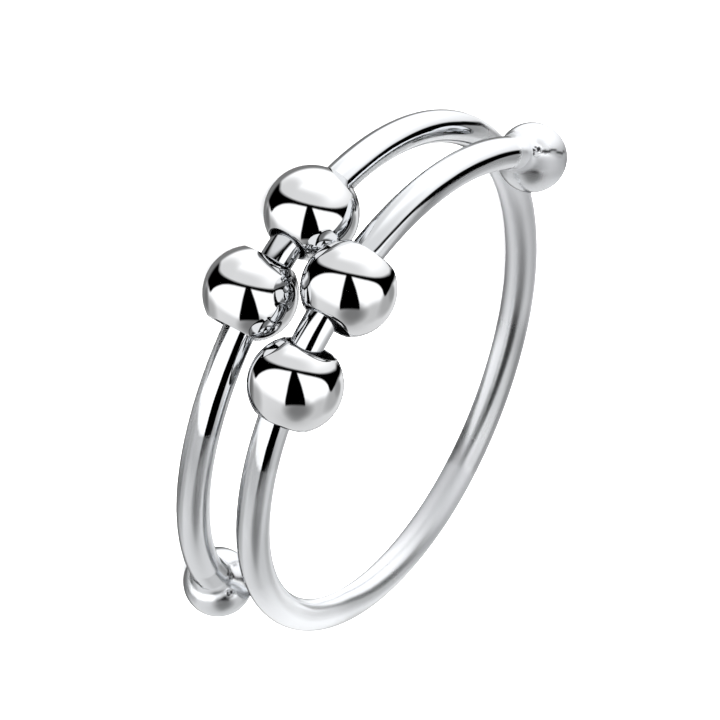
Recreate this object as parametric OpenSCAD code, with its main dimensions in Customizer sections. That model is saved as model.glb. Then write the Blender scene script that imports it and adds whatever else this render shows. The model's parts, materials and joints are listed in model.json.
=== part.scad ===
// Open spinner ring: one round silver wire coiled for about one and a half turns, with a ball
// soldered on each end and four loose drilled beads threaded on it, two on each strand.
// The ring lies on its side. +Z is up, the beads face -Y, and the origin is on the floor under
// the middle of the ring. All sizes are in millimetres.
//
// A place on the wire is named by its turn: how far the wire has bent since the upper ball, in
// degrees. Each local frame on the wire has +Y along the wire, -X towards the middle of its
// bend and +Z across to the upper side of the ring.

/* [Ring] */
// width inside the ring, across the finger
inner_d = 17.3; // [16.2:0.1:19.8]
// thickness of the wire
wire_d = 1.2; // [1:0.05:1.3]

/* [Bends of the wire] */
// bend of the upper strand, from the upper ball past its two beads
bend_1 = 174; // [168:1:178]
// bend of the first part of the back
bend_2 = 118.5; // [114:0.5:122]
// bend of the second part of the back and the start of the lower strand
bend_3 = 134; // [130:0.5:136]
// bend of the rest of the lower strand, as far as the lower ball
bend_4 = 102; // [92:1:106]
// how far sideways the second bend carries the wire, across the ring
side_2 = 2.17; // [2.1:0.01:2.5]
// how far sideways the third bend carries the wire
side_3 = 1.53; // [1.5:0.01:1.8]
// how far sideways the fourth bend carries the wire
side_4 = 2.33; // [2.2:0.01:2.8]

/* [End balls] */
// diameter of the two soldered balls
ball_d = 2.55; // [2.3:0.05:2.9]
// diameter of the solder neck where it meets a ball
neck_d = 1.6; // [1.5:0.05:1.8]
// length of the solder neck
neck_len = 1.1; // [0.9:0.05:1.2]

/* [Beads] */
// diameter of the four beads
bead_d = 3.35; // [2.9:0.05:3.4]
// space between the wire and the wall of a bead's hole
bore_play = 0.3; // [0.28:0.01:0.36]
// width of the chamfer around a bead's hole
rim = 0.06; // [0.03:0.01:0.1]
// gap between the two beads of the upper strand
upper_gap = 0.4; // [0.1:0.05:0.6]
// gap between the two beads of the lower strand
lower_gap = 0.17; // [0.15:0.01:0.3]
// turn of the wire midway between the two beads of the upper strand
upper_turn = 85.5; // [84:0.5:88]
// how far the lower pair of beads sits behind the upper pair, along the wire
pair_lag = 2.2; // [2.15:0.05:2.4]
// how far the top bead sits off the wire's middle line, across the ring and towards its upper side
top_across = 0.05; // [0:0.01:0.08]
// the same for the left bead, which is pushed towards the lower side
left_across = -0.24; // [-0.25:0.01:-0.1]
// the same for the right bead
right_across = 0.24; // [0.2:0.01:0.25]
// the same for the bottom bead
bottom_across = 0.22; // [0:0.01:0.25]

/* [Hidden] */

SILVER = [0.90, 0.91, 0.93];
BRIGHT = [0.95, 0.95, 0.97];

// how far a solder neck starts under the wire's surface, so that the two are one solid
bite = 0.02;
// swell of the wire at a joint between two bends, too small to see, which makes them one solid
swell = 0.01;
// reach of a cutter past the face that it opens
past = 1;
// step of a search along the wire, in degrees
turn_step = 0.5;

// the wire's middle line
coil_r = (inner_d + wire_d) / 2;
sweep = [bend_1, bend_2, bend_3, bend_4];
// the hand-bent wire is a little tighter or wider from bend to bend
spread = [1, 0.995, 1.005, 1.01];
bend_r = [for (s = spread) coil_r * s];
// the roll of each bend about its own first tangent, which carries its far side sideways
roll = [0, -asin(side_2 / (2 * coil_r)), -asin(side_3 / (2 * coil_r)), -asin(side_4 / (2 * coil_r))];
last = len(sweep) - 1;
start = [0, bend_1, bend_1 + bend_2, bend_1 + bend_2 + bend_3];
wire_end = start[last] + sweep[last];

// turn on the wire from a ball's middle to the thin end of its neck, most of which shows outside
to_degrees = 180 / PI;
neck_shows = 0.6;
neck_turn = to_degrees * (ball_d / 2 + neck_len * neck_shows) / coil_r;

// the beads' places: turn on the wire, and how far each loose bead sits off the wire's middle line
full_turn = 360;
lower_turn = full_turn + upper_turn - to_degrees * pair_lag / coil_r;
upper_half = asin((bead_d + upper_gap) / (2 * coil_r));
lower_half = asin((bead_d + lower_gap) / (2 * coil_r));
top_place = [lower_turn - lower_half, top_across];
left_place = [lower_turn + lower_half, left_across];
right_place = [upper_turn - upper_half, right_across];
bottom_place = [upper_turn + upper_half, bottom_across];
// how far a bead sits towards the middle of the bend, so that the bent wire clears its straight hole
bead_in = 0.05;
bore_d = wire_d + 2 * bore_play;

// rigid moves as matrices, for working out places along the wire
function moved(v) = [[1, 0, 0, v.x], [0, 1, 0, v.y], [0, 0, 1, v.z], [0, 0, 0, 1]];
function about_y(a) = [[cos(a), 0, sin(a), 0], [0, 1, 0, 0], [-sin(a), 0, cos(a), 0], [0, 0, 0, 1]];
function about_z(a) = [[cos(a), -sin(a), 0, 0], [sin(a), cos(a), 0, 0], [0, 0, 1, 0], [0, 0, 0, 1]];

// the way round one bend, as far as a turn counted from the bend's own start
function round_bend(turn, bend) = about_y(roll[bend]) * moved([-bend_r[bend], 0, 0])
    * about_z(min(turn, sweep[bend])) * moved([bend_r[bend], 0, 0]);

// the frame on the wire at a turn
function on_wire(turn, bend = 0) = turn > sweep[bend] && bend < last
    ? round_bend(turn, bend) * on_wire(turn - sweep[bend], bend + 1)
    : round_bend(turn, bend);

function place_of(m) = [m[0][3], m[1][3], m[2][3]];
function bead_frame(place) = on_wire(place[0]) * moved([-bead_in, 0, place[1]]);

// the upward direction of a floor that touches three balls of given middles and radii
function floor_up(c, r) =
    let (
        a = c[0] - c[2],
        b = c[1] - c[2],
        da = r[0] - r[2],
        db = r[1] - r[2],
        det = (a * a) * (b * b) - (a * b) * (a * b),
        flat = ((da * (b * b) - db * (a * b)) * a + (db * (a * a) - da * (a * b)) * b) / det,
        across = cross(a, b),
        unit = across / norm(across)
    )
    flat + sqrt(1 - flat * flat) * (unit.z < 0 ? -unit : unit);

// The ring rests on the top bead, the lower ball and the underside of the wire. The wire's own
// lowest place is looked for along the lower strand, three times over, as the floor settles.
lower_strand = [for (turn = [start[2] : turn_step : start[3]]) turn];
function height(turn, up) = place_of(on_wire(turn)) * up;
function lowest_turn(up) =
    let (heights = [for (turn = lower_strand) height(turn, up)])
    lower_strand[search(min(heights), heights)[0]];
function floor_for(turn) = floor_up(
    [place_of(bead_frame(top_place)), place_of(on_wire(wire_end)), place_of(on_wire(turn))],
    [bead_d / 2, ball_d / 2, wire_d / 2]
);
touch_1 = lowest_turn(floor_for(start[2]));
touch_2 = lowest_turn(floor_for(touch_1));
touch_turn = lowest_turn(floor_for(touch_2));
up = floor_for(touch_turn);

// the beads' side of the ring is turned to -Y
bead_side = (place_of(bead_frame(left_place)) + place_of(bead_frame(top_place))
    + place_of(bead_frame(right_place)) + place_of(bead_frame(bottom_place))) / 4;
ring_middle = [-coil_r, 0, 0];
heading = bead_side - ring_middle;
level = heading - (heading * up) * up;
back = -level / norm(level);
right = cross(back, up);
stood = [
    [right.x, right.y, right.z, 0],
    [back.x, back.y, back.z, 0],
    [up.x, up.y, up.z, 0],
    [0, 0, 0, 1]
];

// the origin lies midway between the ring's ends in X and in Y, on the floor
function laid(m) = place_of(stood * m);
origin_x = (laid(on_wire(0)).x + laid(on_wire(wire_end)).x) / 2;
front_y = laid(bead_frame(left_place)).y - bead_d / 2;
back_part = [for (turn = [start[1] : turn_step : start[2]]) laid(on_wire(turn)).y];
back_y = max(back_part) + wire_d / 2;
floor_z = laid(on_wire(wire_end)).z - ball_d / 2;
rest = moved([-origin_x, -(front_y + back_y) / 2, -floor_z]) * stood;

$fn = 96;

// carries its children from the chain of bends to the resting ring
module at_rest() {
    multmatrix(rest) children();
}

// carries its children to a turn on the wire
module at_turn(turn) {
    multmatrix(on_wire(turn)) children();
}

// one plane bend of round wire
module wire_bend(bend) {
    at_turn(start[bend])
        rotate([0, roll[bend], 0])
            translate([-bend_r[bend], 0, 0])
                rotate_extrude(angle = sweep[bend])
                    translate([bend_r[bend], 0])
                        circle(d = wire_d);
}

// the solder that runs from a ball a little way along the wire, towards -Y
module solder_neck() {
    rotate([90, 0, 0])
        cylinder(d1 = wire_d - bite, d2 = neck_d, h = neck_len);
}

// the coiled wire with its two soldered balls
module band() {
    color(SILVER)
        at_rest()
            union() {
                for (bend = [0 : last]) {
                    wire_bend(bend);
                }
                for (bend = [1 : last]) {
                    at_turn(start[bend])
                        sphere(d = wire_d + swell);
                }
                sphere(d = ball_d);
                at_turn(wire_end)
                    sphere(d = ball_d);
                at_turn(neck_turn)
                    solder_neck();
                at_turn(wire_end - neck_turn)
                    rotate([0, 0, 180])
                        solder_neck();
            }
}

// a drilled bead with its hole along Y
module bead() {
    half_len = sqrt(bead_d * bead_d - bore_d * bore_d) / 2;
    rotate([90, 0, 0])
        difference() {
            sphere(d = bead_d);
            cylinder(d = bore_d, h = bead_d + 2 * past, center = true);
            for (side = [0, 1]) {
                mirror([0, 0, side])
                    translate([0, 0, half_len - rim])
                        cylinder(d1 = bore_d, d2 = bore_d + 2 * (rim + past), h = rim + past);
            }
        }
}

// a bead at its place on the wire
module placed_bead(place) {
    color(BRIGHT)
        at_rest()
            multmatrix(bead_frame(place))
                bead();
}

// the bead of the lower strand that is furthest back along the wire
module bead_top() {
    placed_bead(top_place);
}

// the lower strand's other bead
module bead_left() {
    placed_bead(left_place);
}

// the bead of the upper strand nearer the upper ball
module bead_right() {
    placed_bead(right_place);
}

// the upper strand's other bead
module bead_bottom() {
    placed_bead(bottom_place);
}

band();
bead_top();
bead_left();
bead_right();
bead_bottom();
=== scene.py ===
import json
from collections import namedtuple
from math import asin, atan, cos, degrees, pi, radians, sin, sqrt

import bpy
import numpy as np
from mathutils import Matrix, Vector


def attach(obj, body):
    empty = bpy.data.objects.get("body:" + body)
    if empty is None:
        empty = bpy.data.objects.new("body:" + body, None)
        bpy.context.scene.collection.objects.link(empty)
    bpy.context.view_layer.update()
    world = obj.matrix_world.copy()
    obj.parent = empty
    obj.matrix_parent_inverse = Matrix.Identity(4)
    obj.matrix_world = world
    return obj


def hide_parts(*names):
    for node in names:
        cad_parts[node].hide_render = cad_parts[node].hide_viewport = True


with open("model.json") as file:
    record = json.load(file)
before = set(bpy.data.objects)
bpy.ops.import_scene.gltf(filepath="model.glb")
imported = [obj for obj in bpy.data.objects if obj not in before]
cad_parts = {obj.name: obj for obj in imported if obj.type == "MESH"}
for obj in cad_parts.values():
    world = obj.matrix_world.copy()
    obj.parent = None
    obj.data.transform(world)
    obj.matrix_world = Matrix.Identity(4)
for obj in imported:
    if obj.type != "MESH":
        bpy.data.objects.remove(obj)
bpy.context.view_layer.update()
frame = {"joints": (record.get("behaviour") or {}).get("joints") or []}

MM = 0.001
FULL_TURN = 360

# The ring, as in the part's source

INNER_D = 17.3
WIRE_D = 1.2
SWEEP = (174, 118.5, 134, 102)
SPREAD = (1, 0.995, 1.005, 1.01)
SIDE = (0, 2.17, 1.53, 2.33)
WIRE_END = sum(SWEEP)
COIL_R = (INNER_D + WIRE_D) / 2
BALL_D = 2.55
BEAD_D = 3.35
BEAD_IN = 0.05
UPPER_GAP = 0.4
LOWER_GAP = 0.17
UPPER_TURN = 85.5
PAIR_LAG = 2.2
ACROSS = {"top": 0.05, "left": -0.24, "right": 0.24, "bottom": 0.22}

# how far the meshes stay inside the solids
SKIN = 0.006
WIRE_R = WIRE_D / 2 - SKIN
BALL_R = BALL_D / 2 - SKIN
BEAD_R = BEAD_D / 2 - SKIN

# the holes of the beads and their rounded edges; the top bead's hole is the tightest round its wire
BORE_D = {"top": 1.42, "left": 1.8, "right": 1.8, "bottom": 1.8}
BORE_EDGE = 0.05

# the solder: how far it fills the corner at a ball, how far from the ball's middle it starts to
# flare, how far it rises to one side, and how far from the ball's middle the wire is plain
FILLET = 0.22
NECK_START = 1.95
NECK_RISE = 0.2
NECK_REACH = 2.3
# the solder's surface is looked for outwards from this radius, by halving
SEARCH_FROM = 0.2
HALVINGS = 40

# How finely the meshes are cut

WIRE_SIDES = 96
WIRE_STEP = 0.15
# the steps of the wire are finer within a reach of each ball's middle
BALL_STEP = 0.04
BALL_REACH = 2.4
CAP_RINGS = 40
BEAD_SIDES = 144
BEAD_ARC = 56
EDGE_CUTS = 8
WALL_CUTS = 12

# The camera of the photograph

CAMERA_AT = Vector((9.890, -127.796, 82.657))
CAMERA_AIM = Vector((0.087, -1.942, 2.6))
CAMERA_ROLL = 120.82
LENS = 210.21
SENSOR = 36
CLIP_START = 0.01

# The finish of the wire, with the painted shade on it. Rows are (turn of the wire in degrees, value),
# joined by straight lines.

# roughness: polished beside the beads, satin behind them and at the back
POLISH = (
    (0, 0.05), (9, 0.3), (12.5, 0.3), (14, 0.05), (116, 0.05), (116.6, 0.15), (150, 0.17), (165, 0.22),
    (190, 0.22), (216, 0.26), (224, 0.3), (234, 0.42), (242, 0.55), (253, 0.55), (254.5, 0.32),
    (262, 0.27), (290, 0.26), (300, 0.32), (320, 0.4), (345, 0.4), (356, 0.32), (361, 0.15), (366, 0.05),
    (473.6, 0.05), (474.2, 0.15), (510, 0.17), (528.5, 0.2),
)
# painted shade: how much of its brightness the wire keeps, darkened where it stands in for the dimmer
# reflection of satin
PAINTED_SHADE_KEEP = (
    (0, 1), (116, 1), (116.6, 0.5), (120, 0.6), (125, 0.75), (136, 1), (253, 1), (254.5, 0.82),
    (290, 0.82), (298, 1), (473.6, 1), (474.2, 0.5), (480, 0.6), (486, 0.75), (498, 1), (528.5, 1),
)
# the share of frosted silver
FROST = (
    (0, 0), (9, 0.08), (12.5, 0.08), (14, 0), (116, 0), (116.6, 0.02), (126, 0.02), (136, 0), (150, 0),
    (162, 0.07), (172, 0.11), (190, 0.11), (200, 0.05), (224, 0.03), (234, 0), (253, 0), (254.5, 0.04),
    (264, 0.03), (272, 0), (325, 0), (345, 0.06), (358, 0.06), (363, 0), (473.6, 0), (474.2, 0.02),
    (486, 0.02), (498, 0), (528.5, 0),
)
# how the shine leans, in degrees: rolled about the wire, and upwards
ROLL = (
    (0, 0), (4, 2), (9, 8), (24, 8), (36, 6), (44, 7), (48, 9.5), (52, 10.5), (56, 11), (60, 14),
    (64, 17), (85, 9), (100, 8), (126, 8), (142, 4), (160, 0), (180, 3), (190, 13), (200, 16), (208, 9),
    (216, 5), (226, 0), (356, 0), (361, -10), (366, -3), (371, 1), (380, 3), (388, 6), (396, 9),
    (404, 12.5), (455, 12), (480, 11), (492, 7), (510, 3), (520, 0),
)
LIFT = (
    (0, 0), (38, 0), (44, -1.5), (48, -3), (52, -2), (57, 0), (96, 0), (106, 3), (114, 5), (120, 7),
    (128, 7), (140, 4), (155, 0), (458, 0), (468, 2), (476, 5), (484, 6), (494, 4), (508, 0), (528.5, 0),
)

# the two edges where polish turns to satin past the beads, and how far they reach either way
SATIN_EDGES = (116.3, 474)
SATIN_NEAR = (-32, -24, 24, 32)
# how many degrees earlier the satin starts on a strand's outer side
SATIN_LEAD = 15
# near them the painted shade falls only on this stretch across the strand, in wire radii
SATIN_SHADE_STRETCH = (-0.3, 0.05, 0.45, 0.8)

# Wear and painted shade on one side of the wire. It starts, is full, fades and ends at four turns.
# Across the wire it starts and is full at two places in wire radii, towards the outer side (+) or the
# inner side (-).
# rough is the least roughness, dull the brightness taken away by painted shade, and frost the frosted
# share added.
WearAndPaintedShade = namedtuple("WearAndPaintedShade", "turns side rough dull frost", defaults=(0, 0, 0))
WEAR_AND_PAINTED_SHADE = (
    # frost on the outer side where the polish ends, and on the inner side past the lower beads
    WearAndPaintedShade((86.3, 99.3, 117.3, 130.3), (0.35, 0.7), frost=0.05),
    WearAndPaintedShade((444, 457, 475, 488), (0.35, 0.7), frost=0.05),
    WearAndPaintedShade((472, 476, 498, 512), (-0.3, -0.6), frost=0.04),
    # the upper strand is worn on its inner side, and beside the right bead painted shade darkens that
    # side
    WearAndPaintedShade((12, 22, 66, 70), (-0.44, -0.62), rough=0.28),
    WearAndPaintedShade((40, 47, 66, 70), (-0.44, -0.62), dull=0.27),
    # the lower strand is pale on its inner side before its beads
    WearAndPaintedShade((362, 376, 409, 413), (-0.55, -0.8), frost=0.05),
    # the half polished patch at the back is darkened outside by painted shade, and lighter inside
    WearAndPaintedShade((253, 256, 286, 296), (0.1, 0.35), dull=0.2),
    WearAndPaintedShade((261, 268, 286, 296), (-0.5, -0.75), frost=0.07),
)

# The finish of the balls, with painted shade and a painted reflection. Places are in the ball's radii to
# the right, up and back in the studio.

UPPER_BALL = 0
LOWER_BALL = 1

# the upper ball takes in this much of the solder round it
BALL_MARGIN = 0.25
# it is dull to the right and in a belt below its middle, and half polished in its lower half
DULL_RIGHT = (0.1, 0.8)
DULL_BELT = (-0.08, 0.08, 0.35, 0.47)
LOWER_HALF = (0, 0.16)
BALL_ROUGH = 0.05
LOWER_ROUGH = 0.15
DULL_ROUGH = 0.4
# it is frosted towards the right, and painted shade darkens its right edge and a belt low down
FROST_RIGHT = (0.2, 0.6)
BALL_FROST = 0.03
PAINTED_DARK_RIGHT = (0.84, 1)
PAINTED_DARK_SHARE = 0.5
PAINTED_SHADE_BELT = (-0.1, 0.2, 0.45, 0.75)
PAINTED_SHADE_SHARE = 0.19

# the solder collar frosted white at the upper ball: the turns it lies in, and where it starts,
# is full, fades and ends outside the ball, in millimetres
COLLAR_TURNS = (0, 18)
COLLAR = (0.005, 0.03, 0.35, 0.6)
COLLAR_ROUGH = 0.5
COLLAR_FROST = 0.05

# the upper ball's seam of solder: its height and waves, how thin it is and how far it runs
SEAM_UP = 0.13
SEAM_WAVE = 0.03
SEAM_WAVES = 14
SEAM_EDGE = (0.015, 0.05)
SEAM_SPAN = (0.2, 0.3, 0.85, 0.95)
SEAM_DEPTH = 0.05

# a point nearer to the lower ball's surface than the first distance is on it, and one further
# away than the second is off it, in millimetres
ON_SURFACE = (0.01, 0.04)
# a painted reflection on the lower ball: a white rim of frost under the wire's end that stands in for a
# mirrored screen; angles from the wire's line, and places to the right
RIM = (33, 37, 43, 51)
RIM_SPAN = (-0.95, -0.7, 0.2, 0.36)
RIM_REFLECTION_FROST = 0.24
# how the shine leans on the lower ball, to the right and up
BALL_LEAN = (-8, 6)

# where crusts show on the balls, solder on the upper ball and dark spots on the lower one, with their
# reach in millimetres and the share of it that is full
Solder = namedtuple("Solder", "ball lon lat reach")
SOLDER = (
    Solder(UPPER_BALL, 4, 7, 0.3),
    Solder(LOWER_BALL, 22, -16, 0.2),
    Solder(LOWER_BALL, 14, 12, 0.3),
    Solder(LOWER_BALL, 10, 24, 0.3),
)
SOLDER_FULL = 0.35

# how the polish leans on three of the beads: turns about the studio's right, up and back
LEAN = {"top": (-8.9, 1.5, 0.3), "left": (-8.9, 1.5, 0.3), "right": (0, -1.2, 0)}
# each bead takes its marks this much further along in the noise than the bead before it
BEAD_APART = 10

# The marks on the silver. Each is noise with a stretch, a scale and a detail where it isn't the
# usual one. The wire's stretch is along it and twice across it, a bead's is along its hole second.

WIRE_SMUDGES = (0.5, 1.0, 1.0), 1.3
WIRE_STREAKS = (0.7, 9.0, 9.0), 1.0
WIRE_GRAIN = (1.0, 0.6, 0.6), 16.0, 2.0
SOLDER_CRUST = (1.0, 0.8, 0.8), 7.0
BEAD_SMUDGES = (1.0, 1.0, 1.0), 0.9
BEAD_HAIRS = (2.0, 16.0, 2.0), 1.5
DRILL_RINGS = (0.4, 14.0, 0.4), 1.0
# how deep they are, in millimetres
STREAK_DEPTH = 0.0012
GRAIN_DEPTH = 0.001
CRUST_DEPTH = 0.09
HAIR_DEPTH = 0.0002
DRILL_DEPTH = 0.01

# what the marks do to the roughness
STREAK_ROUGH = 0.04
SOLDER_ROUGH = 0.15
BEAD_ROUGH = 0.015
SMUDGE_ROUGH = 0.035
DRILL_ROUGH = 0.3
RING_ROUGH = 0.2

# colours, light and dark; smudges and worn places are dark
WIRE_TINTS = (0.945, 0.965, 0.99), (0.9, 0.915, 0.94)
BEAD_TINTS = (0.965, 0.975, 0.988), (0.92, 0.93, 0.945)
# the bore's wall: its silver darkened by painted shade, and darker again in the drill's rings
BORE_SHADE_TINTS = (0.16, 0.16, 0.17), (0.06, 0.06, 0.065)
SOOT = (0.05, 0.05, 0.055)
# black, towards which the painted shade darkens the wire
BLACK = (0, 0, 0)
SMUDGE_TINT = 0.3

# the roughness that makes a place satin, and the roughness that makes it dull
SATIN_FROM = (0.06, 0.2)
DULL_FROM = (0.22, 0.35)
# how much solder, and how high a crust, make it sooty
SOOTY_SOLDER = (0.2, 0.7)
SOOTY_CRUST = (0.45, 0.6)

# The studio that the silver mirrors, as angles to the right (lon) and up (lat), in degrees

LON_SPAN = (-180, 180)
LAT_SPAN = (-90, 90)
# the lower edge of the bright canopy
CANOPY_EDGE = (
    (-180, 2), (-160, 22), (-140, 34.5), (-120, 38), (-90, 42), (-60, 43), (-30, 40.8), (0, 36),
    (30, 29.6), (60, 23), (76, 21), (90, 20), (112, 19), (125, 18), (140, 18), (153, 14), (180, 2),
)
CANOPY_SOFT = (-3.0, 3.0)
# the canopy brightens away from its edge
CANOPY_RISE = (-4.0, 24.0)
CANOPY_LIGHT = (0.78, 1.12)
# the screens under it are bright from a bottom edge up to a top edge, with a dark band above them
SCREEN_TOP = (
    (-180, 0), (-150, 12), (-120, 11.5), (-111, 8), (-100, 15), (-90, 21), (-70, 29.5), (-50, 32.8),
    (-30, 32.3), (0, 28), (30, 20.5), (60, 12.5), (70, 8.5), (83, -1), (89, -8.5), (95, -11.5),
    (104, -5), (113, 1.5), (120, 5), (132, 7.2), (145, 7.8), (160, 6), (180, 0),
)
SCREEN_TOP_SOFT = (-2.5, 2.5)
SCREEN_BOTTOM = (
    (-180, 0), (-120, 2), (-100, -3), (-80, -13.5), (-60, -26.5), (-40, -39), (-20, -47), (20, -49),
    (40, -47), (60, -38), (75, -28), (85, -20), (92, -10), (100, 4), (180, 4),
)
SCREEN_BOTTOM_SOFT = (-10.0, 9.0)
SCREEN_LIGHT = 1.1
# the dark wedge between the left and the right screen: its two edges by lat, and where it ends below
GAP_SPAN = (-60, 60)
GAP_LEFT = ((-60, -36), (-40, -29), (-20, -21), (0, -16), (25, -10.5), (60, -3))
GAP_RIGHT = ((-60, 38), (-40, 29.5), (-20, 21), (0, 14.5), (25, 6.2), (60, -3))
GAP_SOFT = (-2.0, 2.0)
GAP_BOTTOM = (-54.0, -46.0)
# the light below the screens by lat
SHADE = (
    (-90, 0.36), (-84, 0.41), (-78, 0.5), (-70, 0.58), (-60, 0.64), (-50, 0.68), (-30, 0.71), (0, 0.76),
    (90, 0.8),
)

# Soft spots of other light. An oval has a middle, half sizes, and the squared shares of those at
# which it starts to fade and is gone. A cone fades and is gone at angles from its middle.
Oval = namedtuple("Oval", "lon lat half_lon half_lat fading gone light")
Cone = namedtuple("Cone", "lon lat fading gone light")
CANOPY_SPOTS = (
    Oval(-42, 45, 92, 26, 0.3, 1.6, 0.72),
    Oval(-105, 50, 42, 24, 0.05, 1.7, 0.7),
)
SCREEN_SPOTS = (
    Oval(88, -50, 40, 28, 0.2, 1.5, 0.56),
    Cone(13, -63, 4, 38, 0.19),
    Oval(112, -18, 26, 24, 0.2, 1.5, 0.41),
    Oval(122, -4, 16, 12, 0.1, 1.3, 0.3),
    Oval(-120, -14, 32, 20, 0.1, 1.3, 0.42),
    Oval(-131, 0, 17, 17, 0.1, 1.3, 0.16),
)
BACK_SPOTS = (Cone(-166, 6, 20, 34, 0.2),)

# silver mirrored in silver is darker: from the second reflection on, light under the first value
# is lost and light past the second is kept
SECOND_REFLECTION = 1.5
KEPT_LIGHT = (0.4, 1.4)
# the plain light that falls on the floor and that the camera sees
SURROUND = 4.2
WHITE = (1, 1, 1, 1)
# half the floor's width in metres, and its colour
FLOOR_HALF = 3
PAPER = (0.9, 0.9, 0.9, 1)


# The studio's directions

def camera_axes():
    """The camera's right, up and back directions."""
    ahead = (CAMERA_AIM - CAMERA_AT).normalized()
    level = ahead.cross(Vector((0, 0, 1))).normalized()
    above = level.cross(ahead)
    roll = radians(CAMERA_ROLL)
    right = cos(roll) * level + sin(roll) * above
    return right, right.cross(ahead), -ahead


# the studio stays put round the ring: its axes are those of the photograph's camera
RIGHT, UP, BACK = camera_axes()


def toward(lon, lat):
    """The direction at angles to the right and up in the studio."""
    a, b = radians(lon), radians(lat)
    return cos(b) * sin(a) * RIGHT + sin(b) * UP + cos(b) * cos(a) * BACK


def studio_axes(vectors):
    """Vectors as parts to the right, up and back in the studio."""
    return np.asarray(vectors) @ np.array((RIGHT, UP, BACK)).T


# Places on the wire

def moved(x, y, z):
    """A shift as a matrix."""
    m = np.eye(4)
    m[:3, 3] = x, y, z
    return m


def about_y(angle):
    """A turn about +Y as a matrix."""
    c, s = cos(angle), sin(angle)
    return np.array([[c, 0, s, 0], [0, 1, 0, 0], [-s, 0, c, 0], [0, 0, 0, 1]])


def about_z(angle):
    """A turn about +Z as a matrix."""
    c, s = cos(angle), sin(angle)
    return np.array([[c, -s, 0, 0], [s, c, 0, 0], [0, 0, 1, 0], [0, 0, 0, 1]])


def on_wire(turn):
    """The frame on the wire at a turn in degrees: +Y runs along the wire, -X to the bend's middle."""
    m = np.eye(4)
    for sweep, spread, side in zip(SWEEP, SPREAD, SIDE):
        bend_r = COIL_R * spread
        bent = min(turn, sweep)
        roll = about_y(-asin(side / (2 * COIL_R)))
        m = m @ roll @ moved(-bend_r, 0, 0) @ about_z(radians(bent)) @ moved(bend_r, 0, 0)
        turn -= bent
        if turn <= 0:
            break
    return m


def turn_at(length):
    """The turn at a length along the wire."""
    turn = 0
    for sweep, spread in zip(SWEEP, SPREAD):
        span = radians(sweep) * COIL_R * spread
        if length <= span:
            return turn + degrees(length / (COIL_R * spread))
        length -= span
        turn += sweep
    return turn


def bead_turns():
    """Where each bead sits on the wire, in degrees of turn."""
    lower_turn = FULL_TURN + UPPER_TURN - degrees(PAIR_LAG / COIL_R)
    upper_half = degrees(asin((BEAD_D + UPPER_GAP) / (2 * COIL_R)))
    lower_half = degrees(asin((BEAD_D + LOWER_GAP) / (2 * COIL_R)))
    return {
        "top": lower_turn - lower_half,
        "left": lower_turn + lower_half,
        "right": UPPER_TURN - upper_half,
        "bottom": UPPER_TURN + upper_half,
    }


def bead_frames():
    """Each bead's frame on the wire, with its hole along +Y."""
    return {
        name: on_wire(turn) @ moved(-BEAD_IN, 0, ACROSS[name])
        for name, turn in bead_turns().items()
    }


def resting():
    """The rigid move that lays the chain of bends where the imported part's joints are."""
    frames = bead_frames()
    joints = {j["child"]: j["pos_m"] for j in frame["joints"]}
    here = np.array([frames[name][:3, 3] for name in frames])
    there = np.array([joints[name] for name in frames]) / MM
    a, b = here.mean(0), there.mean(0)
    u, _, vt = np.linalg.svd((here - a).T @ (there - b))
    turn = vt.T @ np.diag([1, 1, np.linalg.det(vt.T @ u.T)]) @ u.T
    m = np.eye(4)
    m[:3, :3] = turn
    m[:3, 3] = b - turn @ a
    return m


REST = resting()


def at_rest(points):
    """Points on the chain of bends, carried to the resting ring."""
    return np.asarray(points) @ REST[:3, :3].T + REST[:3, 3]


def turned_to_rest(vectors):
    """Directions on the chain of bends, turned to the resting ring."""
    return vectors @ REST[:3, :3].T


# Soft steps, meshes and what is kept on their points

def smooth(value, low, high):
    """A soft step from 0 at low to 1 at high."""
    t = np.clip((value - low) / (high - low), 0, 1)
    return t * t * (3 - 2 * t)


def within(value, start, full, fading, gone):
    """A soft rise to 1 from start to full, and a soft fall to 0 from fading to gone."""
    return smooth(value, start, full) * (1 - smooth(value, fading, gone))


def from_table(table, turns):
    """The values at turns of the wire in a table of (turn, value)."""
    return np.interp(turns, *zip(*table))


def new_mesh(name, points, faces, materials):
    """A smooth mesh object from points in millimetres."""
    mesh = bpy.data.meshes.new(name)
    mesh.from_pydata((np.asarray(points) * MM).tolist(), [], faces)
    mesh.polygons.foreach_set("use_smooth", [True] * len(mesh.polygons))
    for material in materials:
        mesh.materials.append(material)
    piece = bpy.data.objects.new(name, mesh)
    bpy.context.scene.collection.objects.link(piece)
    return piece


def paint(piece, name, values):
    """Keeps one number, or one vector, at each point of a mesh for its material."""
    values = np.asarray(values, dtype=np.float32)
    if values.ndim == 1:
        layer = piece.data.attributes.new(name, "FLOAT", "POINT")
        layer.data.foreach_set("value", values)
    else:
        layer = piece.data.attributes.new(name, "FLOAT_VECTOR", "POINT")
        layer.data.foreach_set("vector", values.ravel())


def point_normals(piece):
    """The normals of a mesh at its points."""
    piece.data.update()
    normals = np.zeros(len(piece.data.vertices) * 3, dtype=np.float32)
    piece.data.vertices.foreach_get("normal", normals)
    return normals.reshape(-1, 3)


def rotated(vectors, axes, angles):
    """Vectors turned about axes by angles in degrees."""
    c, s = np.cos(np.radians(angles))[:, None], np.sin(np.radians(angles))[:, None]
    along = np.sum(vectors * axes, axis=1)[:, None]
    return vectors * c + np.cross(axes, vectors) * s + axes * along * (1 - c)


def round_angles(sides):
    """Equal angles all the way round."""
    return np.linspace(0, 2 * pi, sides, endpoint=False)


# The band's shape

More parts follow.
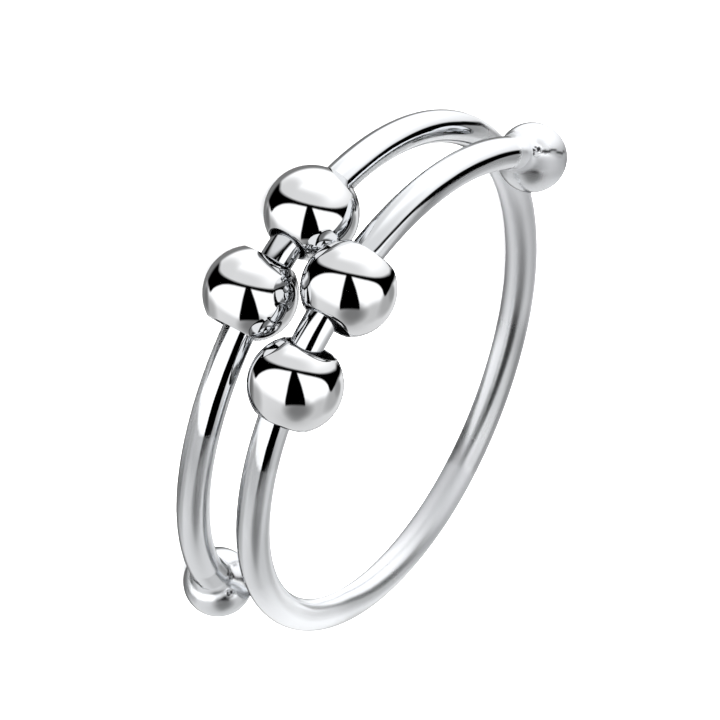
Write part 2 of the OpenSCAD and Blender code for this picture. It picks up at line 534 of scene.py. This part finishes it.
def wire_stations():
    """Places along the wire from ball middle to ball middle, closer together at the balls."""
    total = sum(radians(s) * COIL_R * k for s, k in zip(SWEEP, SPREAD))
    ends = np.arange(0, BALL_REACH, BALL_STEP)
    steps = round((total - 2 * BALL_REACH) / WIRE_STEP)
    middle = np.linspace(BALL_REACH, total - BALL_REACH, steps + 1)
    return np.concatenate([ends, middle, total - ends[::-1]]), total


def soft_min(a, b, width):
    """The smaller of two distances, rounded where they cross."""
    h = np.clip(0.5 + 0.5 * (b - a) / width, 0, 1)
    return b + (a - b) * h - width * h * (1 - h)


def neck_radius(at, out, ball_at, from_end, lean):
    """How far the surface is from the wire's middle line, all round, where the wire meets a ball."""
    flare = max(0, min(1, (NECK_START - from_end) / (NECK_START - BALL_R)))
    wire_r = WIRE_R + NECK_RISE * flare * np.clip(out @ lean, 0, 1)
    low, high = np.full(len(out), SEARCH_FROM), np.full(len(out), BALL_D)
    for _ in range(HALVINGS):
        mid = (low + high) / 2
        to_ball = np.linalg.norm(at + mid[:, None] * out - ball_at, axis=1) - BALL_R
        outside = soft_min(mid - wire_r, to_ball, FILLET) > 0
        high = np.where(outside, mid, high)
        low = np.where(outside, low, mid)
    return (low + high) / 2


def band_rings():
    """Rings of points round the wire and its two balls, with each ring's length, turn and tangent."""
    stations, total = wire_stations()
    angles = round_angles(WIRE_SIDES)
    start, end = on_wire(0), on_wire(WIRE_END)
    side = start[:3, 0]
    steps = np.linspace(0, pi / 2, CAP_RINGS, endpoint=False)[1:]
    rings, lengths, turns, tangents = [], [], [], []

    def around(tangent):
        up = np.cross(side, tangent)
        return np.cos(angles)[:, None] * side + np.sin(angles)[:, None] * up

    def cap(m, reach):
        radius = sqrt(max(BALL_R**2 - reach**2, 0))
        return m[:3, 3] + m[:3, 1] * reach + radius * around(m[:3, 1])

    def keep(ring, length, turn, tangent):
        rings.append(ring)
        lengths.append(length)
        turns.append(turn)
        tangents.append(tangent)

    for step in steps:
        reach = -BALL_R * cos(step)
        keep(cap(start, reach), reach, 0, start[:3, 1])
    for length in stations:
        turn = turn_at(length)
        m = on_wire(turn)
        at, tangent = m[:3, 3], m[:3, 1]
        side = side - tangent * (side @ tangent)
        side = side / np.linalg.norm(side)
        out = around(tangent)
        from_end = min(length, total - length)
        radius = np.full(WIRE_SIDES, WIRE_R)
        if from_end <= NECK_REACH:
            upper = length < total / 2
            ball_at = start[:3, 3] if upper else end[:3, 3]
            lean = m[:3, 2] * (-1 if upper else 1)
            radius = neck_radius(at, out, ball_at, from_end, lean)
        keep(at + radius[:, None] * out, length, turn, tangent)
    for step in steps[::-1]:
        reach = BALL_R * cos(step)
        keep(cap(end, reach), total + reach, WIRE_END, end[:3, 1])
    poles = start[:3, 3] - BALL_R * start[:3, 1], end[:3, 3] + BALL_R * end[:3, 1]
    return rings, poles, lengths, turns, tangents


def band_faces(ring_count):
    """Faces between the rings, and round the two poles, which are the last two points."""
    faces = []
    for i in range(ring_count - 1):
        for j in range(WIRE_SIDES):
            a, b = i * WIRE_SIDES + j, i * WIRE_SIDES + (j + 1) % WIRE_SIDES
            faces.append((a, a + WIRE_SIDES, b + WIRE_SIDES, b))
    first_pole = ring_count * WIRE_SIDES
    last_ring = (ring_count - 1) * WIRE_SIDES
    for j in range(WIRE_SIDES):
        k = (j + 1) % WIRE_SIDES
        faces.append((first_pole, j, k))
        faces.append((first_pole + 1, last_ring + k, last_ring + j))
    return faces


def at_each_point(values):
    """A value of each ring, given to all its points and to the poles."""
    return np.concatenate([np.repeat(values, WIRE_SIDES, axis=0), [values[0], values[-1]]])


# The band's finish

def by_ball(points, ball):
    """Places by a ball, in its radii to the right, up and back, and their distance from its middle."""
    middle = at_rest(on_wire((0, WIRE_END)[ball])[:3, 3])
    away = points - middle
    return *(studio_axes(away) / BALL_R).T, np.linalg.norm(away, axis=1)


def off_middle(points, turns, tangents):
    """How far points lie to the outer side of their strand as the studio sees it, in wire radii."""
    middles = at_rest([on_wire(turn)[:3, 3] for turn in turns])
    outer = np.cross(tangents, BACK)
    outer = outer / np.linalg.norm(outer, axis=1)[:, None]
    return np.sum((points - middles) * outer, axis=1) / WIRE_R


def strand_finish(turns, outer):
    """How rough and frosted the wire is, and how much painted shade darkens it."""
    near = np.maximum(*[within(turns - edge, *SATIN_NEAR) for edge in SATIN_EDGES])
    early = turns + SATIN_LEAD * np.clip(outer, 0, 1) ** 2 * near
    rough = from_table(POLISH, early)
    painted_shade_keep = np.maximum(from_table(PAINTED_SHADE_KEEP, early), near * (1 - within(outer, *SATIN_SHADE_STRETCH)))
    frost = from_table(FROST, early)
    for side_finish in WEAR_AND_PAINTED_SHADE:
        share = within(turns, *side_finish.turns) * smooth(outer, *side_finish.side)
        rough = np.maximum(rough, side_finish.rough * share)
        painted_shade_keep = painted_shade_keep * (1 - side_finish.dull * share)
        frost = frost + side_finish.frost * share
    return rough, painted_shade_keep, frost


def with_upper_ball(points, turns, rough, painted_shade_keep, frost):
    """The finish of the wire, with that of the upper ball and its collar of solder, and the painted
    shade on the ball.
    """
    x, y, _, reach = by_ball(points, UPPER_BALL)
    on_ball = reach < BALL_R + BALL_MARGIN
    dull = np.maximum(within(-y, *DULL_BELT), smooth(x, *DULL_RIGHT))
    ball_rough = BALL_ROUGH + LOWER_ROUGH * smooth(-y, *LOWER_HALF) + DULL_ROUGH * dull
    # painted shade on the ball: darker at its right edge and in a belt low down
    ball_painted_shade_keep = (1 - PAINTED_DARK_SHARE * smooth(x, *PAINTED_DARK_RIGHT)) * (1 - PAINTED_SHADE_SHARE * within(-y, *PAINTED_SHADE_BELT))
    ball_frost = BALL_FROST * smooth(x, *FROST_RIGHT)
    rough = np.where(on_ball, ball_rough, rough)
    painted_shade_keep = np.where(on_ball, ball_painted_shade_keep, painted_shade_keep)
    frost = np.where(on_ball, ball_frost, frost)

    collar_start, collar_end = COLLAR_TURNS
    collar = within(reach - BALL_R, *COLLAR) * ((turns > collar_start) & (turns < collar_end))
    rough = np.maximum(rough, COLLAR_ROUGH * collar)
    frost = np.maximum(frost, COLLAR_FROST * collar)
    return rough, painted_shade_keep, frost


def painted_rim_reflection(points, on_low):
    """The lower ball's painted reflection: a white rim under the wire's end."""
    x, y, z, _ = by_ball(points, LOWER_BALL)
    wire = studio_axes(turned_to_rest(-on_wire(WIRE_END)[:3, 1]))
    to_wire = (x * wire[0] + y * wire[1] + z * wire[2]) / np.sqrt(x * x + y * y + z * z)
    from_wire = np.degrees(np.arccos(np.clip(to_wire, -1, 1)))
    return within(from_wire, *RIM) * on_low * within(x, *RIM_SPAN)


def solder_spots(points):
    """Where dark crusts show on the balls."""
    solder = np.zeros(len(points))
    for spot in SOLDER:
        x, y, z, _ = by_ball(points, spot.ball)
        middle = studio_axes(toward(spot.lon, spot.lat))
        away = BALL_R * np.linalg.norm(np.stack([x, y, z], 1) - middle, axis=1)
        solder = np.maximum(solder, 1 - smooth(away, SOLDER_FULL * spot.reach, spot.reach))
    return solder


def seam(points):
    """The upper ball's thin seam of solder, which runs round to the right."""
    x, y, z, reach = by_ball(points, UPPER_BALL)
    line = 1 - smooth(np.abs(y - SEAM_UP - SEAM_WAVE * np.sin(SEAM_WAVES * x)), *SEAM_EDGE)
    return line * within(x, *SEAM_SPAN) * (z > 0) * (reach < BALL_R + SEAM_DEPTH)


def band_finish(points, turns, tangents, on_low):
    """What the wire's material needs to know at each point."""
    outer = off_middle(points, turns, tangents)
    rough, painted_shade_keep, frost = with_upper_ball(points, turns, *strand_finish(turns, outer))
    # the painted reflection on the lower ball
    frost = np.maximum(frost, RIM_REFLECTION_FROST * painted_rim_reflection(points, on_low))
    solder = solder_spots(points)
    return {"rough": rough, "painted_shade_keep": painted_shade_keep, "frost": frost, "solder": solder, "seam": seam(points)}


def lean_shine(band, turns, tangents, on_low):
    """Leans the band's shading a little, as hand polishing does."""
    to_right = np.array([RIGHT] * len(turns))
    to_up = np.array([UP] * len(turns))
    normals = rotated(point_normals(band), tangents, from_table(ROLL, turns))
    normals = rotated(normals, to_right, -from_table(LIFT, turns))
    normals = rotated(normals, to_up, BALL_LEAN[0] * on_low)
    normals = rotated(normals, to_right, -BALL_LEAN[1] * on_low)
    band.data.normals_split_custom_set_from_vertices(normals.tolist())


def make_band(material):
    """The wire with its balls and solder, in one piece."""
    rings, poles, lengths, turns, tangents = band_rings()
    points = at_rest(np.concatenate([*rings, poles]))
    band = new_mesh("band_wire", points, band_faces(len(rings)), [material])
    around = [(length, cos(a), sin(a)) for length in lengths for a in round_angles(WIRE_SIDES)]
    around += [(lengths[0], 0, 0), (lengths[-1], 0, 0)]
    paint(band, "on_wire", around)
    turns = at_each_point(turns)
    tangents = turned_to_rest(at_each_point(tangents))
    reach = by_ball(points, LOWER_BALL)[-1]
    on_low = 1 - smooth(np.abs(reach - BALL_R), *ON_SURFACE)
    for name, values in band_finish(points, turns, tangents, on_low).items():
        paint(band, name, values)
    lean_shine(band, turns, tangents, on_low)
    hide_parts("band")
    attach(band, "ring")


# The beads

def bead_profile(bore_r):
    """A bead's section as (radius, place along the hole, in the hole), with round edges."""
    # the edge's rounding touches the hole's wall and the ball from inside
    edge_at = bore_r + BORE_EDGE
    edge_y = sqrt((BEAD_R - BORE_EDGE) ** 2 - edge_at**2)
    tilt = atan(edge_y / edge_at)
    edge = [
        (edge_at + BORE_EDGE * cos(t), edge_y + BORE_EDGE * sin(t))
        for t in np.linspace(tilt, pi, EDGE_CUTS)
    ]
    arc = [(BEAD_R * cos(t), BEAD_R * sin(t), 0) for t in np.linspace(-tilt, tilt, BEAD_ARC)]
    upper = [(r, y, 0) for r, y in edge[1:]]
    wall = [(bore_r, y, 1) for y in np.linspace(edge_y, -edge_y, WALL_CUTS)[1:]]
    lower = [(r, -y, 0) for r, y in edge[-2:0:-1]]
    return arc + upper + wall + lower


def lean_polish(bead, turns):
    """Leans a bead's shading by small turns, as hand polishing does."""
    axis = turns[0] * RIGHT + turns[1] * UP + turns[2] * BACK
    turn = Matrix.Rotation(radians(axis.length), 3, axis)
    normals = point_normals(bead) @ np.array(turn).T
    bead.data.normals_split_custom_set_from_vertices(normals.tolist())


def make_bead(name, bead_frame, polished, drilled):
    """A drilled bead at its frame on the wire."""
    profile = bead_profile(BORE_D[name] / 2)
    angles = round_angles(BEAD_SIDES)
    local = np.array([(r * cos(a), y, r * sin(a)) for r, y, _ in profile for a in angles])
    count = len(profile)
    faces = []
    in_hole = []
    for i in range(count):
        k = (i + 1) % count
        here, there = i * BEAD_SIDES, k * BEAD_SIDES
        for j in range(BEAD_SIDES):
            m = (j + 1) % BEAD_SIDES
            faces.append((here + j, there + j, there + m, here + m))
            in_hole.append(int(profile[i][2] or profile[k][2]))
    place = REST @ bead_frame
    points = local @ place[:3, :3].T + place[:3, 3]
    bead = new_mesh(f"{name}_bead", points, faces, [polished, drilled])
    bead.data.polygons.foreach_set("material_index", in_hole)
    paint(bead, "on_bead", local + BEAD_APART * list(ACROSS).index(name))
    if name in LEAN:
        lean_polish(bead, LEAN[name])
    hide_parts(f"bead_{name}")
    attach(bead, name)


# Shader nodes

class Nodes:
    """Adds shader nodes to a tree, one short call each."""

    def __init__(self, tree):
        self.tree = tree
        tree.nodes.clear()

    def add(self, kind, *inputs, **values):
        """A new node with its settings, and its inputs in their order."""
        node = self.tree.nodes.new(kind)
        for name, value in values.items():
            setattr(node, name, value)
        for socket, value in zip(node.inputs, inputs):
            self.put(socket, value)
        return node

    def put(self, socket, value):
        """Links a socket to another one, or sets its value."""
        if isinstance(value, bpy.types.NodeSocket):
            self.tree.links.new(value, socket)
        elif value is not None:
            socket.default_value = value

    def math(self, operation, *inputs):
        return self.add("ShaderNodeMath", *inputs, operation=operation).outputs[0]

    def dot(self, a, b):
        node = self.add("ShaderNodeVectorMath", a, b, operation="DOT_PRODUCT")
        return node.outputs["Value"]

    def soft_step(self, value, low, high):
        """A soft step from 0 at low to 1 at high."""
        node = self.add("ShaderNodeMapRange", interpolation_type="SMOOTHSTEP")
        for name, x in zip(("Value", "From Min", "From Max"), (value, low, high)):
            self.put(node.inputs[name], x)
        return node.outputs["Result"]

    def blend(self, share, a, b):
        """a where share is 0, b where it is 1."""
        rise = self.math("SUBTRACT", b, a)
        return self.math("MULTIPLY_ADD", rise, share, a)

    def tint(self, share, a, b):
        """Colour a where share is 0, colour b where it is 1."""
        node = self.add("ShaderNodeMix", data_type="RGBA")
        self.put(node.inputs["Factor"], share)
        colour_inputs = [socket for socket in node.inputs if socket.type == "RGBA"]
        for socket, colour in zip(colour_inputs, (a, b)):
            self.put(socket, colour if isinstance(colour, bpy.types.NodeSocket) else (*colour, 1))
        return next(socket for socket in node.outputs if socket.type == "RGBA")

    def curve(self, value, points, across, upright):
        """A smooth curve through points, in a box that reaches across and upright."""
        low, high = across
        bottom, top = upright
        value = self.math("MINIMUM", self.math("MAXIMUM", value, low), high)
        x = self.math("DIVIDE", self.math("SUBTRACT", value, low), high - low)
        node = self.add("ShaderNodeFloatCurve", 1.0, x)
        line = node.mapping.curves[0]
        spots = [((px - low) / (high - low), (py - bottom) / (top - bottom)) for px, py in points]
        line.points[0].location = spots[0]
        line.points[1].location = spots[-1]
        for spot in spots[1:-1]:
            line.points.new(*spot)
        node.mapping.update()
        return self.math("MULTIPLY_ADD", node.outputs[0], top - bottom, bottom)

    def point(self, name, output="Fac"):
        """A value that paint() kept on the mesh."""
        return self.add("ShaderNodeAttribute", attribute_name=name).outputs[output]

    def noise(self, place, stretch, scale, detail=3.0):
        """Cloudy noise from 0 to 1, on a place stretched along its three axes."""
        stretched = self.add("ShaderNodeVectorMath", place, stretch, operation="MULTIPLY")
        node = self.add("ShaderNodeTexNoise")
        self.put(node.inputs["Vector"], stretched.outputs[0])
        self.put(node.inputs["Scale"], scale)
        self.put(node.inputs["Detail"], detail)
        return node.outputs[0]

    def bump(self, height, depth, below=None):
        """Raises the surface by height times a depth in millimetres."""
        node = self.add("ShaderNodeBump")
        self.put(node.inputs["Height"], height)
        self.put(node.inputs["Strength"], 1.0)
        self.put(node.inputs["Distance"], depth * MM)
        self.put(node.inputs["Normal"], below)
        return node.outputs[0]


# Materials

def new_metal(name):
    """A metal material with its nodes and its shader."""
    material = bpy.data.materials.new(name)
    material.use_nodes = True
    n = Nodes(material.node_tree)
    shader = n.add("ShaderNodeBsdfPrincipled")
    shader.inputs["Metallic"].default_value = 1.0
    n.add("ShaderNodeOutputMaterial", shader.outputs[0])
    return material, n, shader


def wire_silver():
    """Polished wire with drawn marks along it, satin where it is worn, rough at the solder and darkened
    by painted shade in places.
    """
    material, n, shader = new_metal("wire_silver")
    place = n.point("on_wire", "Vector")
    worn = n.point("rough")
    solder = n.point("solder")
    satin = n.soft_step(worn, *SATIN_FROM)
    smudges = n.noise(place, *WIRE_SMUDGES)
    streaks = n.noise(place, *WIRE_STREAKS)
    grain = n.noise(place, *WIRE_GRAIN)
    crust = n.noise(place, *SOLDER_CRUST)

    rough = n.math("MULTIPLY_ADD", n.math("SUBTRACT", streaks, 0.5), STREAK_ROUGH, worn)
    n.put(shader.inputs["Roughness"], n.math("MULTIPLY_ADD", solder, SOLDER_ROUGH, rough))

    # the frosted share scatters light
    n.put(shader.inputs["Metallic"], n.math("SUBTRACT", 1.0, n.point("frost")))

    dull = n.math("MULTIPLY_ADD", smudges, SMUDGE_TINT, n.soft_step(worn, *DULL_FROM))
    silver = n.tint(dull, *WIRE_TINTS)
    # painted shade: the silver is darkened towards black where the wire keeps less of its brightness
    silver = n.tint(n.math("SUBTRACT", 1.0, n.point("painted_shade_keep")), silver, BLACK)
    soot = n.math("MULTIPLY", n.soft_step(solder, *SOOTY_SOLDER), n.soft_step(crust, *SOOTY_CRUST))
    soot = n.math("MAXIMUM", soot, n.point("seam"))
    n.put(shader.inputs["Base Color"], n.tint(soot, silver, SOOT))

    marks = n.bump(streaks, STREAK_DEPTH)
    marks = n.bump(n.math("MULTIPLY", grain, satin), GRAIN_DEPTH, marks)
    marks = n.bump(n.math("MULTIPLY", crust, solder), CRUST_DEPTH, marks)
    n.put(shader.inputs["Normal"], marks)
    return material


def bead_silver():
    """Mirror polish with faint smudges and hairlines."""
    material, n, shader = new_metal("bead_silver")
    place = n.point("on_bead", "Vector")
    smudges = n.noise(place, *BEAD_SMUDGES)
    hairs = n.noise(place, *BEAD_HAIRS)
    n.put(shader.inputs["Roughness"], n.math("MULTIPLY_ADD", smudges, SMUDGE_ROUGH, BEAD_ROUGH))
    n.put(shader.inputs["Base Color"], n.tint(smudges, *BEAD_TINTS))
    n.put(shader.inputs["Normal"], n.bump(hairs, HAIR_DEPTH))
    return material


def painted_shade_bore_silver():
    """The wall of a bead's hole, its silver darkened by painted shade, with the drill's marks round it.
    """
    material, n, shader = new_metal("painted_shade_bore_silver")
    place = n.point("on_bead", "Vector")
    rings = n.noise(place, *DRILL_RINGS)
    n.put(shader.inputs["Roughness"], n.math("MULTIPLY_ADD", rings, RING_ROUGH, DRILL_ROUGH))
    n.put(shader.inputs["Base Color"], n.tint(rings, *BORE_SHADE_TINTS))
    n.put(shader.inputs["Normal"], n.bump(rings, DRILL_DEPTH))
    return material


# The studio, the floor and the camera

class Surround(Nodes):
    """The world's nodes, with the way a ray goes as angles to the right and up in the studio."""

    def __init__(self, tree):
        super().__init__(tree)
        self.way = self.add("ShaderNodeTexCoord").outputs["Generated"]
        ahead = self.math("ARCTAN2", self.dot(self.way, RIGHT), self.dot(self.way, BACK))
        self.lon = self.math("DEGREES", ahead)
        self.lat = self.math("DEGREES", self.math("ARCSINE", self.dot(self.way, UP)))

    def past(self, value, edge, soft):
        """0 before an edge and 1 past it, over a soft range of degrees."""
        return self.soft_step(self.math("SUBTRACT", value, edge), *soft)

    def oval(self, spot):
        """1 inside an oval, falling softly to 0 outside."""
        x = self.math("DIVIDE", self.math("SUBTRACT", self.lon, spot.lon), spot.half_lon)
        y = self.math("DIVIDE", self.math("SUBTRACT", self.lat, spot.lat), spot.half_lat)
        away = self.math("ADD", self.math("MULTIPLY", x, x), self.math("MULTIPLY", y, y))
        return self.math("SUBTRACT", 1.0, self.soft_step(away, spot.fading, spot.gone))

    def cone(self, spot):
        """1 close to a direction, falling softly to 0 away from it."""
        close = self.dot(self.way, toward(spot.lon, spot.lat))
        return self.soft_step(close, cos(radians(spot.gone)), cos(radians(spot.fading)))

    def with_spots(self, light, spots):
        """A light with spots laid over it, one after another."""
        for spot in spots:
            share = self.oval(spot) if isinstance(spot, Oval) else self.cone(spot)
            light = self.blend(share, light, spot.light)
        return light

    def by_lon(self, points):
        """The height of an edge by lon."""
        return self.curve(self.lon, points, LON_SPAN, LAT_SPAN)

    def by_lat(self, points):
        """The place of a side of the gap by lat."""
        return self.curve(self.lat, points, GAP_SPAN, GAP_SPAN)


def studio_light(n):
    """The light of the studio by direction: a canopy above and screens below, with dark between."""
    canopy_edge = n.by_lon(CANOPY_EDGE)
    above = n.past(n.lat, canopy_edge, CANOPY_SOFT)
    canopy = n.blend(n.past(n.lat, canopy_edge, CANOPY_RISE), *CANOPY_LIGHT)
    canopy = n.with_spots(canopy, CANOPY_SPOTS)

    below = n.past(n.by_lon(SCREEN_TOP), n.lat, SCREEN_TOP_SOFT)
    screens = n.past(n.lat, n.by_lon(SCREEN_BOTTOM), SCREEN_BOTTOM_SOFT)
    shade = n.curve(n.lat, SHADE, LAT_SPAN, (0, 1))
    lower = n.blend(screens, shade, SCREEN_LIGHT)
    lower = n.with_spots(lower, SCREEN_SPOTS)

    past_left = n.past(n.lon, n.by_lat(GAP_LEFT), GAP_SOFT)
    past_right = n.past(n.by_lat(GAP_RIGHT), n.lon, GAP_SOFT)
    gap = n.math("MULTIPLY", n.math("MULTIPLY", past_left, past_right), n.soft_step(n.lat, *GAP_BOTTOM))
    lower = n.math("MULTIPLY", lower, n.math("SUBTRACT", 1.0, gap))

    light = n.math("ADD", n.math("MULTIPLY", canopy, above), n.math("MULTIPLY", lower, below))
    return n.with_spots(light, BACK_SPOTS)


def make_studio():
    """A plain white surround, where reflections see the studio instead."""
    world = bpy.data.worlds.new("studio")
    bpy.context.scene.world = world
    world.use_nodes = True
    world.cycles.sampling_method = "NONE"
    n = Surround(world.node_tree)
    light = studio_light(n)

    rays = n.add("ShaderNodeLightPath")
    again = n.math("GREATER_THAN", rays.outputs["Glossy Depth"], SECOND_REFLECTION)
    light = n.blend(again, light, n.math("MULTIPLY", light, n.soft_step(light, *KEPT_LIGHT)))
    seen = n.add("ShaderNodeBackground", WHITE, SURROUND)
    mirrored = n.add("ShaderNodeBackground", WHITE, light)
    glossy = rays.outputs["Is Glossy Ray"]
    both = n.add("ShaderNodeMixShader", glossy, seen.outputs[0], mirrored.outputs[0])
    n.add("ShaderNodeOutputWorld", both.outputs[0])


def make_floor():
    """A plain pale floor, which the silver doesn't mirror."""
    mesh = bpy.data.meshes.new("floor")
    corners = [(x * FLOOR_HALF, y * FLOOR_HALF, 0) for x, y in ((-1, -1), (1, -1), (1, 1), (-1, 1))]
    mesh.from_pydata(corners, [], [(0, 1, 2, 3)])
    floor = bpy.data.objects.new("floor", mesh)
    bpy.context.scene.collection.objects.link(floor)
    material = bpy.data.materials.new("pale_floor")
    material.use_nodes = True
    n = Nodes(material.node_tree)
    paper = n.add("ShaderNodeBsdfDiffuse", PAPER)
    n.add("ShaderNodeOutputMaterial", paper.outputs[0])
    mesh.materials.append(material)
    floor.visible_glossy = False


def make_camera():
    """The photograph's camera."""
    data = bpy.data.cameras.new("camera")
    data.lens = LENS
    data.sensor_width = SENSOR
    data.clip_start = CLIP_START
    camera = bpy.data.objects.new("camera", data)
    turn = Matrix((RIGHT, UP, BACK)).transposed().to_4x4()
    camera.matrix_world = Matrix.Translation(CAMERA_AT * MM) @ turn
    bpy.context.scene.collection.objects.link(camera)
    bpy.context.scene.camera = camera


make_camera()
make_band(wire_silver())
polished, drilled = bead_silver(), painted_shade_bore_silver()
for bead_name, placed in bead_frames().items():
    make_bead(bead_name, placed, polished, drilled)
make_studio()
make_floor()
bpy.context.scene.view_settings.view_transform = "Standard"
